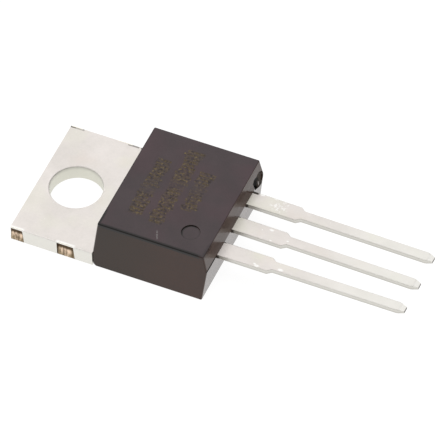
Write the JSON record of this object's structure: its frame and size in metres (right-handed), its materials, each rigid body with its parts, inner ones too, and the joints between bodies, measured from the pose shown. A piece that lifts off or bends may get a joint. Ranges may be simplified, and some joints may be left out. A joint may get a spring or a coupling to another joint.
{
  "type": "power mosfet",
  "caption": "Flat power transistor in black epoxy with a plated screw tab and a row of straight leads.",
  "frame": {"origin": "axis of the screw hole at the tab's back face", "axes": "+X out along the leads, +Z out of the back face towards the epoxy's top, +Y towards the source lead"},
  "size_m": [0.0292, 0.0104, 0.0044],
  "materials": {
    "plated_tab": "matt tin plating over copper, bare copper where strips were sheared off",
    "plated_lead": "matt tin plating over copper",
    "silicon": "polished silicon with an aluminium upper face",
    "solder": "dull soft solder",
    "bond_wire": "drawn aluminium wire",
    "epoxy": "black moulding epoxy, fine satin from the mould"
  },
  "bodies": {
    "root": {"drain_tab": "plated_tab", "gate_lead": "plated_lead", "source_lead": "plated_lead", "silicon_die": "silicon", "die_solder": "solder", "gate_wire": "bond_wire", "source_wire_1": "bond_wire", "source_wire_2": "bond_wire", "moulded_body": "epoxy"}
  },
  "joints": []
}
